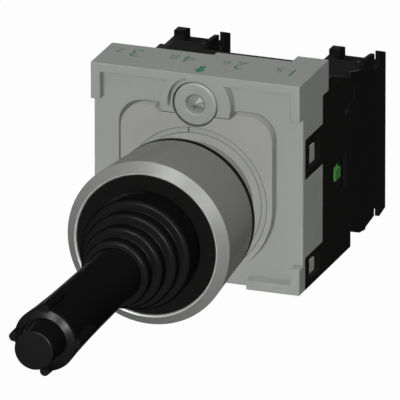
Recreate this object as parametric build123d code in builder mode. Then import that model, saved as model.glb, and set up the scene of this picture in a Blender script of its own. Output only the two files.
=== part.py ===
from build123d import *
import os
from math import cos, pi, radians, sin, tan

# Frame: the lever axis is Y, the operator stands at -Y, the panel's front face is at y = 0.

# Panel cut-out, seal and barrel
panel_hole_radius = 11.15
panel_thickness_max = 6.0
barrel_play = 0.15
barrel_radius = panel_hole_radius - barrel_play
barrel_bore_radius = 9.2
seal_thickness = 2.0
seal_width = 2.85
seal_rim_depth = 0.9
seal_lip_setback = 1.3

# Front ring
ring_front_radius = 15.45
ring_taper = 1.3
ring_back_wall = 0.85
ring_back_chamfer = 0.25
ring_depth = 16.2
ring_bevel_depth = 1.6
ring_lip = 0.1
ring_lip_depth = 0.3

# Cup of the barrel inside the ring
cup_play = 0.1
cup_front_gap = 1.85
retainer_setback = 0.4
bead_seat_depth = 1.5
bead_seat_wall = 0.3
plate_play = 0.05
plate_radius = 10.55
plate_seat_depth = 2.3

# Lever pivot
pivot_setback = 6.15
tilt_limit = 12.0
pin_radius = 1.5
pin_play = 0.06
pin_press_play = 0.02
pin_end_gap = 0.3
cheek_half_width = 3.5
cheek_half_depth = 3.0
cheek_top_z = 7.4

# Lever foot
hub_radius = 3.9
hub_half_height = 4.4
foot_half_height = 2.2
foot_waist_radius = 3.1
toe_reach = 7.0
toe_offset = 3.0
toe_radius = 1.2
socket_radius = 4.2
socket_front_gap = 1.4
rod_socket_wall = 0.7
tab_half_width = 2.0
tab_depth = 1.2
tab_height = 2.5

# Guide plate in front of the pivot
plate_thickness = 2.0
slot_play = 0.2
slot_end_play = 0.35
post_depth = 1.1
post_height = 2.7
post_low_z = 4.9

# Lever rod, tip and locking sleeve
rod_radius = 3.0
rod_front_y = -70.0
tip_radius = 3.64
tip_front_y = -77.1
tip_back_y = -65.5
tip_edge = 0.45
rod_play = 0.08
tip_play = 0.1
sleeve_travel = 4.0
sleeve_radius = 4.9
sleeve_back_y = -18.5
sleeve_taper_y = -42.0
sleeve_front_y = -72.3
sleeve_flare_y = -70.9
sleeve_flare_radius = 5.8
sleeve_mouth_gap = 0.81
sleeve_mouth_depth = 1.2
spring_seat_y = -46.0
rib_count = 4
rib_radius = 0.95
rib_centre_radius = 5.8
rib_front_y = -71.6
rib_length = 8.0

# Lock collar on the sleeve's inner end
collar_radius = 6.0
collar_length = 3.0
tongue_half_width = 1.1
tongue_low_z = 4.6
tongue_tip_y = -15.4
window_play = 0.3

# Bellows
ridge_count = 4
ridge_overhang = 0.2
ridge_y = -25.7
ridge_pitch = 3.5
ridge_round = 0.5
bellows_wall = 0.8
groove_depth = 0.4
groove_width = 0.7
bead_play = 0.2
bellows_base_taper = 0.5
bellows_base_length = 2.2
neck_gap = 0.3
neck_wall = 1.2
neck_depth = 1.8
clamp_ring_width = 3.0

# Springs
sleeve_wire = 0.25
sleeve_coil_radius = 3.38
sleeve_turns = 8
centring_wire = 0.25
centring_coil_radius = 2.3
centring_coil_low_z = 5.1
centring_coil_pitch = 0.6
centring_turns = 3
plunger_wire = 0.18
plunger_coil_radius = 1.35
plunger_turns = 5

# Holder behind the panel
slot_count = 4
slot_pitch = 10.0
holder_width = slot_count * slot_pitch
holder_height = 40.0
holder_top_z = 23.9
holder_recess = 2.0
holder_plate = 3.2
holder_body_depth = 10.6
holder_wall = 1.8
holder_side_wall = 3.2
ear_height = 7.0
ear_width = 1.8
lip_length = 10.2
lip_rise = 5.0
top_step_x = -0.4
top_step_depth = 1.4
rear_ear_x = 14.0
rear_ear_depth = 3.1
rear_ear_height = 5.9
bore_play = 0.1
hub_wall = 1.9
hub_depth = 0.6

# Screw boss, pressure disc and clamp screw
screw_z = 18.1
boss_radius = 6.8
boss_low_z = 16.1
boss_pocket_play = 0.15
relief_radii = (4.75, 5.25)
relief_angles = (112, 151, 190)
boss_pocket_depth = 1.6
boss_back_radius = 4.4
boss_back_length = 5.3
disc_radius = 4.15
disc_depth = 3.0
disc_edge = 0.35
disc_eye_radius = 1.65
disc_eye_flare = 0.3
disc_eye_depth = 1.0
screw_radius = 1.95
screw_play = 0.08
screw_seat_play = 0.05
screw_length = 10.0
screw_point_play = 0.15
flute_count = 4
flute_size = 0.75
screw_slot_width = 0.6
screw_slot_depth = 0.8

# Latch plate and split ring on the holder's front
latch_left_x = -14.2
latch_right_x = 14.8
latch_top_z = 17.0
latch_corner = 4.5
latch_arc_radius = 14.8
latch_ring_outer = 13.75
latch_ring_inner = 12.75
latch_ring_play = 0.05
latch_ring_depth = 1.2
latch_split_angle = 95.0
latch_split_width = 0.25
boss_notch_half_width = 7.6
boss_notch_corner = 1.0
boss_notch_play = 0.05

# Snap arms of the carrier on the holder's sides
arm_front_gap = 3.4
arm_thickness = 1.35
arm_play = 0.12
arm_upper_span = (5.0, 12.5)
arm_lower_height = 6.0
arm_window_y = (11.4, 16.9)
arm_window_margins = ((1.4, 1.6), (1.4, 0.8))
nub_y = (11.8, 15.0)
nub_margin = 0.65
nub_setback = 0.3

# Module carrier
carrier_depth = 15.0
carrier_top_z = 18.9
carrier_front_wall = 1.8
carrier_edge = 1.1
pocket_half_width = 4.1
carrier_floor = 1.5
pocket_head_gap = 2.1
catch_y = (28.9, 30.2)
hook_play = 0.3
carrier_slope_y = 27.0
carrier_slope_z = 16.5
slide_window_y = (24.4, 31.2)
slide_window_front_z = (-1.3, 2.2)
slide_window_back_z = (-3.9, 3.3)
side_notch_y = 30.4
side_notch_z = (10.2, 12.1)
ear_play = 0.15

# Transfer slides
slide_half_height = 1.8
slide_play = 0.3
toe_gap = 0.15
finger_half_width = 1.4
web_y = (13.6, 16.8)
slide_back_y = 29.7
slide_side_gap = 0.2
slide_inner_x = 11.5
slide_neck_x = 16.4
slide_step_y = 20.5
slide_pad_y = (26.3, 29.05)
slide_pad_half_height = 1.0
slide_pad_setback = 0.3

# Contact modules
module_width = 9.8
module_back_y = 52.9
left_cheek = 2.0
right_cheek = 0.9
left_top_front = (42.0, 15.4)
left_top_back = (44.4, 14.5)
left_tab_y = 49.4
left_tab_top_z = 15.5
channel_top_z = 15.7
channel_low_z = -14.6
well_floor_z = 7.4
back_wall_z = 13.4
chamber_reserve = 4.9
partition_thickness = 0.8
back_wall = 1.2
chamber_half_height = 10.0
chamber_wall = 0.3
groove_y = 48.5
groove_radius = 1.15
groove_sink = 0.4
groove_low_z = 13.4
cheek_slot_y = (46.8, 49.5)
recess_y = 35.3
recess_z = 12.9
recess_radius = 0.75
recess_length = 1.6
recess_depth = 0.4
driver_hole_radius = 2.6

# Module nose with snap hooks
nose_front_y = 31.6
nose_pocket_gap = 1.5
nose_play = 0.35
plug_depth = 1.4
plug_play = 0.1
hook_y = 26.8
hook_thickness = 1.1
hook_half_width = 2.4
hook_tooth = 1.1
hook_tooth_length = 1.8

# Plunger, bridge and contacts
plunger_half_width = 1.8
plunger_half_height = 2.4
plunger_gap = 0.05
plunger_stand = 4.9
plunger_window_play = 0.1
post_radius = 0.8
post_length = 2.2
bridge_thickness = 0.8
bridge_half_width = 2.0
bridge_half_length = 6.4
button_radius = 0.9
button_height = 0.4
button_z = 4.9
contact_gap = 1.6
strip_thickness = 0.8
strip_half_width = 2.2
strip_inner_z = 3.6
strip_level_z = 7.7
strip_top_z = 13.2
strip_stand = 2.0
terminal_z = 10.2
terminal_shank_radius = 1.45
terminal_head_radius = 2.4
terminal_head_depth = 1.6
terminal_head_gap = 0.3
terminal_shank_setback = 0.3
clamp_thickness = 1.0
clamp_half_width = 2.7
clamp_half_height = 2.6
clamp_lip = 0.6
drive_slot_width = 0.7
drive_slot_depth = 0.8

# Worked out from the driving sizes
ring_back_y = -seal_thickness
ring_back_radius = ring_front_radius - ring_taper
ring_bore_radius = ring_back_radius - ring_back_wall
ring_lip_radius = ring_bore_radius + ring_lip
cup_radius = ring_bore_radius - cup_play
bead_radius = cup_radius - bead_seat_wall - bead_play
clamp_ring_bore = cup_radius - clamp_ring_width
ridge_radius = clamp_ring_bore + ridge_overhang
neck_radius = sleeve_radius + neck_gap
ridge_radius_step = (ridge_radius - neck_radius - neck_wall) / (ridge_count - 1)
seal_bore_radius = panel_hole_radius + cup_play
seal_radius = seal_bore_radius + seal_width
ring_edge_y = ring_back_y - ring_depth
ring_front_y = ring_edge_y - ring_bevel_depth
cup_front_y = ring_front_y + cup_front_gap
bead_seat_y = cup_front_y + bead_seat_depth
plate_seat_y = bead_seat_y + plate_seat_depth
plate_front_y = plate_seat_y - plate_thickness
pivot_y = plate_seat_y + pivot_setback
pin_half_length = cup_radius - pin_end_gap
slot_half_height = rod_radius + slot_play
slot_half_length = (
    rod_radius / cos(radians(tilt_limit))
    + (pivot_y - plate_front_y) * tan(radians(tilt_limit))
    + slot_end_play
)
tongue_swing = (pivot_y - tongue_tip_y) * sin(radians(tilt_limit)) + tongue_half_width
window_half_length = tongue_swing + 2 * window_play
holder_front_y = panel_thickness_max
holder_face_y = holder_front_y + holder_recess
holder_back_y = holder_face_y + holder_body_depth
holder_half = holder_width / 2
holder_low_z = holder_top_z - holder_height
arm_spans = (arm_upper_span, (holder_low_z, holder_low_z + arm_lower_height))
barrel_end_y = holder_face_y + holder_plate + hub_depth
carrier_front_y = holder_back_y
pocket_low_z = holder_low_z + carrier_floor
nose_half_height = -pocket_low_z - nose_pocket_gap
catch_z = nose_half_height + hook_play
pocket_high_z = nose_half_height + pocket_head_gap
carrier_back_y = carrier_front_y + carrier_depth
carrier_side_wall = holder_half - (slot_count - 1) / 2 * slot_pitch - pocket_half_width
toe_travel = toe_reach * radians(tilt_limit)
toe_back_y = pivot_y + toe_offset + toe_radius
disc_back_y = holder_front_y + disc_depth
screw_front_y = holder_front_y + disc_eye_depth + screw_seat_play
plunger_back_y = carrier_back_y + plunger_stand
post_end_y = plunger_back_y + post_length
chamber_y = plunger_back_y + chamber_reserve
well_y = (chamber_y + partition_thickness, module_back_y - back_wall)
strip_back_y = well_y[0] + strip_stand
terminal_shank_front_y = well_y[0] + terminal_shank_setback
bridge_y = plunger_back_y + plunger_gap
strip_tip_y = bridge_y + bridge_thickness + 2 * button_height + contact_gap
well_head_y = well_y[1] - terminal_head_gap - terminal_head_depth


def turn(*corners, mode=Mode.ADD):
    """Revolve a profile of (radius, y) corners about the lever axis."""
    with BuildSketch(Plane.XY) as profile:
        with BuildLine():
            Polyline(*corners, close=True)
        make_face()
    revolve(profile.sketch, axis=Axis.Y, mode=mode)


def block(x, y, z, mode=Mode.ADD):
    """Make a block between pairs of limits."""
    with Locations(((x[0] + x[1]) / 2, (y[0] + y[1]) / 2, (z[0] + z[1]) / 2)):
        Box(x[1] - x[0], y[1] - y[0], z[1] - z[0], mode=mode)


def drill(radius, y, at=(0, 0), mode=Mode.SUBTRACT):
    """Make or cut a cylinder along Y between two values of y, at a place (x, z)."""
    with BuildSketch(Plane.XZ.offset(-y[0])) as disc:
        with Locations(at):
            Circle(radius)
    extrude(disc.sketch, amount=y[0] - y[1], mode=mode)


def side_profile(corners, x, mode=Mode.ADD):
    """Extrude a profile of (y, z) corners between two values of x."""
    with BuildSketch(Plane.YZ.offset(x[0])) as profile:
        with BuildLine():
            Polyline(*corners, close=True)
        make_face()
    extrude(profile.sketch, amount=x[1] - x[0], mode=mode)


def save(node, label):
    """Name a finished sub-part and write it."""
    node.part.label = label
    export_step(node.part, f"parts/{label}.step")


os.makedirs("parts", exist_ok=True)

# Panel seal: a flat rubber ring between the front ring and the panel
with BuildPart() as panel_seal:
    turn(
        (seal_bore_radius, ring_back_y),
        (seal_radius, ring_back_y),
        (seal_radius, ring_back_y + seal_rim_depth),
        (seal_radius - seal_lip_setback, 0),
        (seal_bore_radius, 0),
    )
save(panel_seal, "panel_seal")

# Front ring: a turned metal ring, tapered to the panel, with a bevelled front edge
with BuildPart() as front_ring:
    turn(
        (ring_bore_radius, ring_back_y),
        (ring_back_radius - ring_back_chamfer, ring_back_y),
        (ring_back_radius, ring_back_y - 3 * ring_back_chamfer),
        (ring_front_radius, ring_edge_y),
        (ring_lip_radius, ring_front_y),
        (ring_bore_radius, ring_front_y + ring_lip_depth),
    )
save(front_ring, "front_ring")

# Actuator barrel: cup inside the ring, tube through the panel hole, cheeks for the pivot pin
with BuildPart() as actuator_barrel:
    turn(
        (cup_radius, cup_front_y),
        (cup_radius, ring_back_y),
        (barrel_radius, ring_back_y),
        (barrel_radius, barrel_end_y),
        (barrel_bore_radius, barrel_end_y),
        (barrel_bore_radius, plate_seat_y),
        (plate_radius + plate_play, plate_seat_y),
        (plate_radius + plate_play, bead_seat_y),
        (cup_radius - bead_seat_wall, bead_seat_y),
        (cup_radius - bead_seat_wall, cup_front_y),
    )
    cheek_y = (pivot_y - cheek_half_depth, pivot_y + cheek_half_depth)
    cheek_x = (-cheek_half_width, cheek_half_width)
    block(cheek_x, cheek_y, (cheek_top_z, plate_radius))
    block(cheek_x, cheek_y, (-plate_radius, -hub_half_height - window_play))
    with Locations((0, pivot_y, 0)):
        Cylinder(pin_radius + pin_press_play, 3 * cup_radius, mode=Mode.SUBTRACT)
save(actuator_barrel, "actuator_barrel")

# Guide plate: steel disc whose slot keeps the lever in the horizontal plane
with BuildPart() as guide_plate:
    drill(plate_radius, (plate_front_y, plate_seat_y), mode=Mode.ADD)
    with BuildSketch(Plane.XZ.offset(-plate_front_y)) as gate:
        SlotOverall(2 * slot_half_length, 2 * slot_half_height)
    extrude(gate.sketch, amount=-plate_thickness, mode=Mode.SUBTRACT)
    for side in (-1, 1):
        window_z = sorted((side * (tongue_low_z - window_play), side * (collar_radius + window_play)))
        window_x = (-window_half_length, window_half_length)
        block(window_x, (plate_front_y, plate_seat_y), window_z, Mode.SUBTRACT)
    post_z = (post_low_z, post_low_z + post_height)
    block((-tab_half_width, tab_half_width), (plate_seat_y, plate_seat_y + post_depth), post_z)
save(guide_plate, "guide_plate")

# Pivot pin: a steel dowel across the barrel, pressed into the wall at both ends
with BuildPart() as pivot_pin:
    with Locations((0, pivot_y, 0)):
        Cylinder(pin_radius, 2 * pin_half_length)
    chamfer(pivot_pin.edges().filter_by(GeomType.CIRCLE), pin_radius / 6)
save(pivot_pin, "pivot_pin")

# Lever foot: hub on the pin, socket for the rod and a rocker with two rounded toes
with BuildPart() as lever_foot:
    for side in (-1, 1):
        with BuildSketch(Plane.XY.offset(-foot_half_height)) as arm:
            with Locations((0, pivot_y)):
                Circle(foot_waist_radius)
            with Locations((side * toe_reach, pivot_y + toe_offset)):
                Circle(toe_radius)
            make_hull()
        extrude(arm.sketch, amount=2 * foot_half_height)
    with Locations((0, pivot_y, 0)):
        Cylinder(hub_radius, 2 * hub_half_height)
    socket_front_y = plate_seat_y + socket_front_gap
    rod_back_y = pivot_y - pin_radius - rod_socket_wall
    drill(socket_radius, (socket_front_y, pivot_y), mode=Mode.ADD)
    tab_y = (socket_front_y + plate_play, socket_front_y + plate_play + tab_depth)
    block((-tab_half_width, tab_half_width), tab_y, (0, hub_half_height + tab_height))
    drill(rod_radius + pin_press_play, (socket_front_y, rod_back_y))
    with Locations((0, pivot_y, 0)):
        Cylinder(pin_radius + pin_play, 3 * hub_half_height, mode=Mode.SUBTRACT)
save(lever_foot, "lever_foot")

# Lever rod: a steel rod from the foot to the tip
with BuildPart() as lever_rod:
    drill(rod_radius, (rod_front_y, rod_back_y - plate_play), mode=Mode.ADD)
    chamfer(lever_rod.edges().sort_by(Axis.Y)[0], rod_radius / 8)
save(lever_rod, "lever_rod")

# Handle tip: a moulded cap on the rod's end, the inner guide of the sleeve
with BuildPart() as handle_tip:
    drill(tip_radius, (tip_front_y, tip_back_y), mode=Mode.ADD)
    fillet(handle_tip.edges().sort_by(Axis.Y)[0], tip_edge)
    drill(rod_radius + pin_press_play, (rod_front_y - plate_play, tip_back_y))
save(handle_tip, "handle_tip")

# Locking sleeve: the moulded grip tube, flared to an open mouth, with round ribs at its end
with BuildPart() as locking_sleeve:
    turn(
        (rod_radius + rod_play, sleeve_back_y),
        (sleeve_radius, sleeve_back_y),
        (sleeve_radius, sleeve_taper_y),
        (sleeve_flare_radius, sleeve_flare_y),
        (tip_radius + sleeve_mouth_gap, sleeve_front_y),
        (tip_radius + sleeve_mouth_gap, sleeve_front_y + sleeve_mouth_depth),
        (tip_radius + tip_play, sleeve_front_y + sleeve_mouth_depth),
        (tip_radius + tip_play, spring_seat_y),
        (rod_radius + rod_play, spring_seat_y),
    )
    for index in range(rib_count):
        rib_angle = radians(360 / rib_count * index)
        rib_at = (rib_centre_radius * cos(rib_angle), rib_centre_radius * sin(rib_angle))
        drill(rib_radius, (rib_front_y, rib_front_y + rib_length), rib_at, Mode.ADD)
        with Locations((rib_at[0], rib_front_y + rib_length, rib_at[1])):
            Sphere(rib_radius)
    drill(tip_radius + tip_play, (sleeve_front_y, spring_seat_y))
save(locking_sleeve, "locking_sleeve")

# Lock collar: a steel ring on the sleeve's inner end with two tongues in the guide plate's windows
with BuildPart() as lock_collar:
    turn(
        (sleeve_radius + pin_press_play, sleeve_back_y - collar_length),
        (collar_radius, sleeve_back_y - collar_length),
        (collar_radius, sleeve_back_y),
        (sleeve_radius + pin_press_play, sleeve_back_y),
    )
    for side in (-1, 1):
        tongue_z = sorted((side * (sleeve_radius + pin_press_play), side * (collar_radius - plate_play)))
        tongue_x = (-tongue_half_width, tongue_half_width)
        block(tongue_x, (sleeve_back_y - collar_length / 2, tongue_tip_y), tongue_z)
    drill(sleeve_radius + pin_press_play, (sleeve_back_y - collar_length, sleeve_back_y))
save(lock_collar, "lock_collar")

# Bellows: a stepped rubber cone with one rounded ridge to a step and a groove under each
with BuildPart() as bellows:
    with BuildSketch(Plane.XY) as bellows_profile:
        base_radius = ridge_radius - bellows_base_taper
        outer = [(bead_radius, bead_seat_y), (bead_radius, cup_front_y), (base_radius, cup_front_y)]
        outer.append((ridge_radius, ridge_y + bellows_base_length))
        inner = [(base_radius - bellows_wall, bead_seat_y)]
        inner.append((base_radius - bellows_wall, ridge_y + bellows_base_length))
        ridges = []
        for index in range(ridge_count):
            radius = ridge_radius - index * ridge_radius_step
            front = ridge_y - index * ridge_pitch
            ridges.append((radius, front))
            outer.append((radius, front))
            inner.append((radius - bellows_wall, front + bellows_wall))
            if index < ridge_count - 1:
                floor = radius - ridge_radius_step - groove_depth
                outer.append((floor, front))
                outer.append((floor, front - groove_width))
                outer.append((radius - ridge_radius_step, front - groove_width))
                inner.append((radius - ridge_radius_step - bellows_wall, front + bellows_wall))
        neck_y = ridges[-1][1]
        inner[-1] = (inner[-1][0], neck_y + neck_depth)
        inner.append((neck_radius, neck_y + neck_depth))
        inner.append((neck_radius, neck_y))
        with BuildLine():
            Polyline(*outer, *reversed(inner), close=True)
        make_face()
        crests = [bellows_profile.vertices().sort_by_distance(ridge)[0] for ridge in ridges]
        fillet(crests, ridge_round)
    revolve(axis=Axis.Y)
save(bellows, "bellows")

# Bellows clamp ring: the flat black ring that holds the bellows' bead in the cup
with BuildPart() as bellows_clamp_ring:
    turn(
        (clamp_ring_bore, cup_front_y - plate_play),
        (clamp_ring_bore, ring_front_y + retainer_setback),
        (cup_radius, ring_front_y + retainer_setback),
        (cup_radius, cup_front_y - plate_play),
    )
save(bellows_clamp_ring, "bellows_clamp_ring")

# Sleeve spring: pushes the sleeve back from the tip
with BuildPart() as sleeve_spring:
    sleeve_spring_length = spring_seat_y - tip_back_y - 2 * sleeve_wire
    with BuildLine() as sleeve_coil:
        Helix(
            pitch=sleeve_spring_length / sleeve_turns,
            height=sleeve_spring_length,
            radius=sleeve_coil_radius,
            center=(0, tip_back_y + sleeve_wire, 0),
            direction=(0, 1, 0),
        )
    with BuildSketch(Plane(origin=sleeve_coil.line @ 0, z_dir=sleeve_coil.line % 0)):
        Circle(sleeve_wire - plate_play / 2)
    sweep(path=sleeve_coil.line, is_frenet=True)
save(sleeve_spring, "sleeve_spring")

# Centring spring: coils round the pivot pin, with two legs that hold the foot's tab to the post
with BuildPart() as centring_spring:
    coil_height = centring_turns * centring_coil_pitch
    with BuildLine() as centring_coil:
        Helix(
            pitch=centring_coil_pitch,
            height=coil_height,
            radius=centring_coil_radius,
            center=(0, pivot_y, centring_coil_low_z),
            direction=(0, 0, 1),
        )
    with BuildSketch(Plane(origin=centring_coil.line @ 0, z_dir=centring_coil.line % 0)):
        Circle(centring_wire)
    sweep(path=centring_coil.line, is_frenet=True)
    leg_end_y = plate_seat_y + post_depth / 4
    leg_z = centring_coil_low_z + coil_height
    drill(centring_wire - plate_play / 2, (leg_end_y, pivot_y), (centring_coil_radius, leg_z), Mode.ADD)
    block(
        (-centring_coil_radius - centring_wire, -centring_coil_radius + centring_wire),
        (leg_end_y, pivot_y + centring_wire),
        (leg_z - centring_wire - centring_coil_pitch, leg_z + centring_wire - centring_coil_pitch),
    )
save(centring_spring, "centring_spring")

# Holder: the grey square casting, clamped behind the panel
with BuildPart() as holder:
    block((-holder_half, holder_half), (holder_face_y, holder_back_y), (holder_low_z, holder_top_z))
    cavity_x = (-holder_half + holder_side_wall, holder_half - holder_side_wall)
    cavity_z = (holder_low_z + holder_wall, holder_top_z - holder_wall)
    plate_back_y = holder_face_y + holder_plate
    block(cavity_x, (plate_back_y, holder_back_y), cavity_z, Mode.SUBTRACT)
    with BuildSketch(Plane.XZ.offset(-holder_face_y)) as raised_edges:
        with Locations((0, holder_top_z - holder_wall / 2)):
            Rectangle(holder_width, holder_wall)
        for side in (-1, 1):
            with Locations((side * (holder_half - ear_width / 2), holder_top_z - ear_height / 2)):
                Rectangle(ear_width, ear_height)
            with Locations((side * (holder_half - ear_width / 2), holder_low_z + lip_rise / 2)):
                Rectangle(ear_width, lip_rise)
            with Locations((side * (holder_half - lip_length / 2), holder_low_z + holder_wall / 2)):
                Rectangle(lip_length, holder_wall)
    extrude(amount=holder_recess)
    drill(boss_radius, (holder_front_y, holder_face_y), (0, screw_z), Mode.ADD)
    rim_x = (-boss_radius, boss_radius)
    rim_y = (holder_front_y, holder_face_y)
    block(rim_x, rim_y, (0, boss_low_z), Mode.SUBTRACT)
    block(rim_x, rim_y, (holder_top_z, screw_z + boss_radius + 1), Mode.SUBTRACT)
    drill(boss_back_radius, (plate_back_y, plate_back_y + boss_back_length), (0, screw_z), Mode.ADD)
    drill(barrel_radius + bore_play + hub_wall, (plate_back_y, barrel_end_y), mode=Mode.ADD)
    ear_y = (holder_back_y, holder_back_y + rear_ear_depth)
    block((rear_ear_x, holder_half), ear_y, (holder_top_z - rear_ear_height, holder_top_z))
    step_y = (holder_back_y - top_step_depth, holder_back_y)
    block((-holder_half, top_step_x), step_y, (carrier_top_z, holder_top_z), Mode.SUBTRACT)
    drill(barrel_radius + bore_play, (holder_face_y, barrel_end_y))
    pocket_back_y = holder_face_y + boss_pocket_depth
    drill(disc_radius + boss_pocket_play, (holder_front_y, pocket_back_y), (0, screw_z))
    with BuildSketch(Plane.XZ.offset(-holder_front_y)) as relief:
        with Locations((0, screw_z)):
            Circle(relief_radii[1])
            Circle(relief_radii[0], mode=Mode.SUBTRACT)
            far = 2 * relief_radii[1]
            sector = [(far * cos(radians(angle)), far * sin(radians(angle))) for angle in relief_angles]
            Polygon((0, 0), *sector, align=None, mode=Mode.INTERSECT)
    extrude(relief.sketch, amount=-boss_pocket_depth, mode=Mode.SUBTRACT)
    drill(screw_radius + screw_play, (holder_face_y, plate_back_y + boss_back_length), (0, screw_z))
    arm_root_x = holder_half - arm_thickness - arm_play
    for side in (-1, 1):
        for low, high in arm_spans:
            seat_x = sorted((side * arm_root_x, side * (holder_half + 1)))
            seat_y = (holder_front_y + arm_front_gap - arm_play, holder_back_y)
            seat_z = (max(low - arm_play, holder_low_z - 1), high + arm_play)
            block(seat_x, seat_y, seat_z, Mode.SUBTRACT)
        for (low, high), (under, over) in zip(arm_spans, arm_window_margins):
            nub_x = sorted((side * arm_root_x, side * (holder_half - nub_setback)))
            block(nub_x, nub_y, (low + under + nub_margin, high - over - nub_margin))
save(holder, "holder")

# Latch plate: the raised insert round the barrel, cut back round the screw boss
with BuildPart() as latch_plate:
    with BuildSketch(Plane.XZ.offset(-holder_face_y)) as latch_outline:
        latch_width = latch_right_x - latch_left_x
        with Locations(((latch_left_x + latch_right_x) / 2, 0)):
            RectangleRounded(latch_width, 2 * latch_top_z, latch_corner)
        with Locations((0, -latch_top_z)):
            Rectangle(2 * latch_width, 2 * latch_top_z, mode=Mode.SUBTRACT)
        Circle(latch_arc_radius)
        with Locations((latch_left_x - latch_width / 2, 0)):
            Rectangle(latch_width, 4 * latch_top_z, mode=Mode.SUBTRACT)
        notch_low_z = boss_low_z - boss_notch_play
        with Locations((0, notch_low_z + boss_radius)):
            RectangleRounded(
                2 * boss_notch_half_width, 2 * boss_radius, boss_notch_corner, mode=Mode.SUBTRACT
            )
        with Locations((0, screw_z)):
            Circle(disc_radius + screw_play, mode=Mode.SUBTRACT)
        Circle(barrel_radius + bore_play, mode=Mode.SUBTRACT)
    extrude(amount=holder_recess)
    turn(
        (latch_ring_inner - latch_ring_play, holder_front_y),
        (latch_ring_outer + latch_ring_play, holder_front_y),
        (latch_ring_outer + latch_ring_play, holder_front_y + latch_ring_depth + latch_ring_play),
        (latch_ring_inner - latch_ring_play, holder_front_y + latch_ring_depth + latch_ring_play),
        mode=Mode.SUBTRACT,
    )
save(latch_plate, "latch_plate")

# Latch ring: a split spring ring in the latch plate's groove
with BuildPart() as latch_ring:
    turn(
        (latch_ring_inner, holder_front_y),
        (latch_ring_outer, holder_front_y),
        (latch_ring_outer, holder_front_y + latch_ring_depth),
        (latch_ring_inner, holder_front_y + latch_ring_depth),
    )
    split_x = latch_ring_outer * cos(radians(latch_split_angle))
    block(
        (split_x - latch_split_width / 2, split_x + latch_split_width / 2),
        (holder_front_y, holder_front_y + latch_ring_depth),
        (0, latch_ring_outer + latch_ring_play),
        Mode.SUBTRACT,
    )
save(latch_ring, "latch_ring")

# Pressure disc: sits on the clamp screw's nose and presses on the panel's back
with BuildPart() as pressure_disc:
    drill(disc_radius, (holder_front_y, disc_back_y), (0, screw_z), Mode.ADD)
    chamfer(pressure_disc.edges().sort_by(Axis.Y)[0], disc_edge)
    eye_y = holder_front_y + disc_eye_depth
    drill(disc_eye_radius, (holder_front_y, eye_y), (0, screw_z))
    chamfer(pressure_disc.edges().filter_by(GeomType.CIRCLE).sort_by(SortBy.RADIUS)[0], disc_eye_flare)
    drill(screw_radius + screw_play, (eye_y, disc_back_y), (0, screw_z))
save(pressure_disc, "pressure_disc")

# Clamp screw: a headless screw with a fluted point in the disc's eye and a slot in its tail
with BuildPart() as clamp_screw:
    screw_back_y = screw_front_y + screw_length
    drill(screw_radius, (screw_front_y, screw_back_y), (0, screw_z), Mode.ADD)
    chamfer(clamp_screw.edges().sort_by(Axis.Y)[-1], screw_radius / 6)
    with BuildSketch(Plane.XZ.offset(-screw_front_y)) as point_foot:
        with Locations((0, screw_z)):
            Circle(disc_eye_radius - screw_point_play)
            with PolarLocations(disc_eye_radius - screw_point_play, flute_count):
                RegularPolygon(flute_size, 3, rotation=180, mode=Mode.SUBTRACT)
    point = Vertex(0, holder_front_y + screw_seat_play, screw_z)
    loft((point_foot.sketch.face(), point), ruled=True)
    block(
        (-screw_radius, screw_radius),
        (screw_back_y - screw_slot_depth, screw_back_y),
        (screw_z - screw_slot_width / 2, screw_z + screw_slot_width / 2),
        Mode.SUBTRACT,
    )
save(clamp_screw, "clamp_screw")

# Module carrier: four pockets open to the back, and snap arms forward over the holder's sides
slot_centres = [slot_pitch * (index - (slot_count - 1) / 2) for index in range(slot_count)]
with BuildPart() as module_carrier:
    side_profile(
        (
            (carrier_front_y, holder_low_z),
            (carrier_back_y, holder_low_z),
            (carrier_back_y, carrier_top_z - carrier_edge),
            (carrier_back_y - carrier_edge, carrier_top_z),
            (carrier_front_y, carrier_top_z),
        ),
        (-holder_half, holder_half),
    )
    chamfer(module_carrier.edges().filter_by(Axis.Y).group_by(Axis.Z)[-1], carrier_edge)
    slope = (
        (carrier_slope_y, carrier_top_z),
        (carrier_back_y, carrier_slope_z),
        (carrier_back_y, holder_top_z),
        (carrier_slope_y, holder_top_z),
    )
    side_profile(slope, (slot_pitch, holder_half), Mode.SUBTRACT)
    side_profile(slope, (-holder_half, -slot_pitch), Mode.SUBTRACT)
    pocket_y = (carrier_front_y + carrier_front_wall, carrier_back_y)
    for centre in slot_centres:
        pocket_x = (centre - pocket_half_width, centre + pocket_half_width)
        block(pocket_x, pocket_y, (pocket_low_z, pocket_high_z), Mode.SUBTRACT)
        block(pocket_x, catch_y, (catch_z, pocket_high_z))
        block(pocket_x, catch_y, (pocket_low_z, -catch_z))
        gate_z = (-slide_half_height - slide_play, slide_half_height + slide_play)
        block(pocket_x, (carrier_front_y, pocket_y[0]), gate_z, Mode.SUBTRACT)
    for side in (-1, 1):
        arm_x = sorted((side * (holder_half - arm_thickness), side * holder_half))
        for (low, high), (under, over) in zip(arm_spans, arm_window_margins):
            arm_y = (holder_front_y + arm_front_gap, carrier_front_y)
            block(arm_x, arm_y, (low, high))
            block(arm_x, arm_window_y, (low + under, high - over), Mode.SUBTRACT)
        window = (
            (slide_window_y[0], slide_window_front_z[0]),
            (slide_window_y[1], slide_window_back_z[0]),
            (slide_window_y[1], slide_window_back_z[1]),
            (slide_window_y[0], slide_window_front_z[1]),
        )
        wall_x = sorted((side * (holder_half - carrier_side_wall), side * holder_half))
        side_profile(window, wall_x, Mode.SUBTRACT)
        block(wall_x, (side_notch_y, carrier_back_y), side_notch_z, Mode.SUBTRACT)
    block(
        (rear_ear_x - ear_play, holder_half),
        (carrier_front_y, carrier_front_y + rear_ear_depth + ear_play),
        (holder_top_z - rear_ear_height - ear_play, carrier_top_z),
        Mode.SUBTRACT,
    )
save(module_carrier, "module_carrier")

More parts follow.
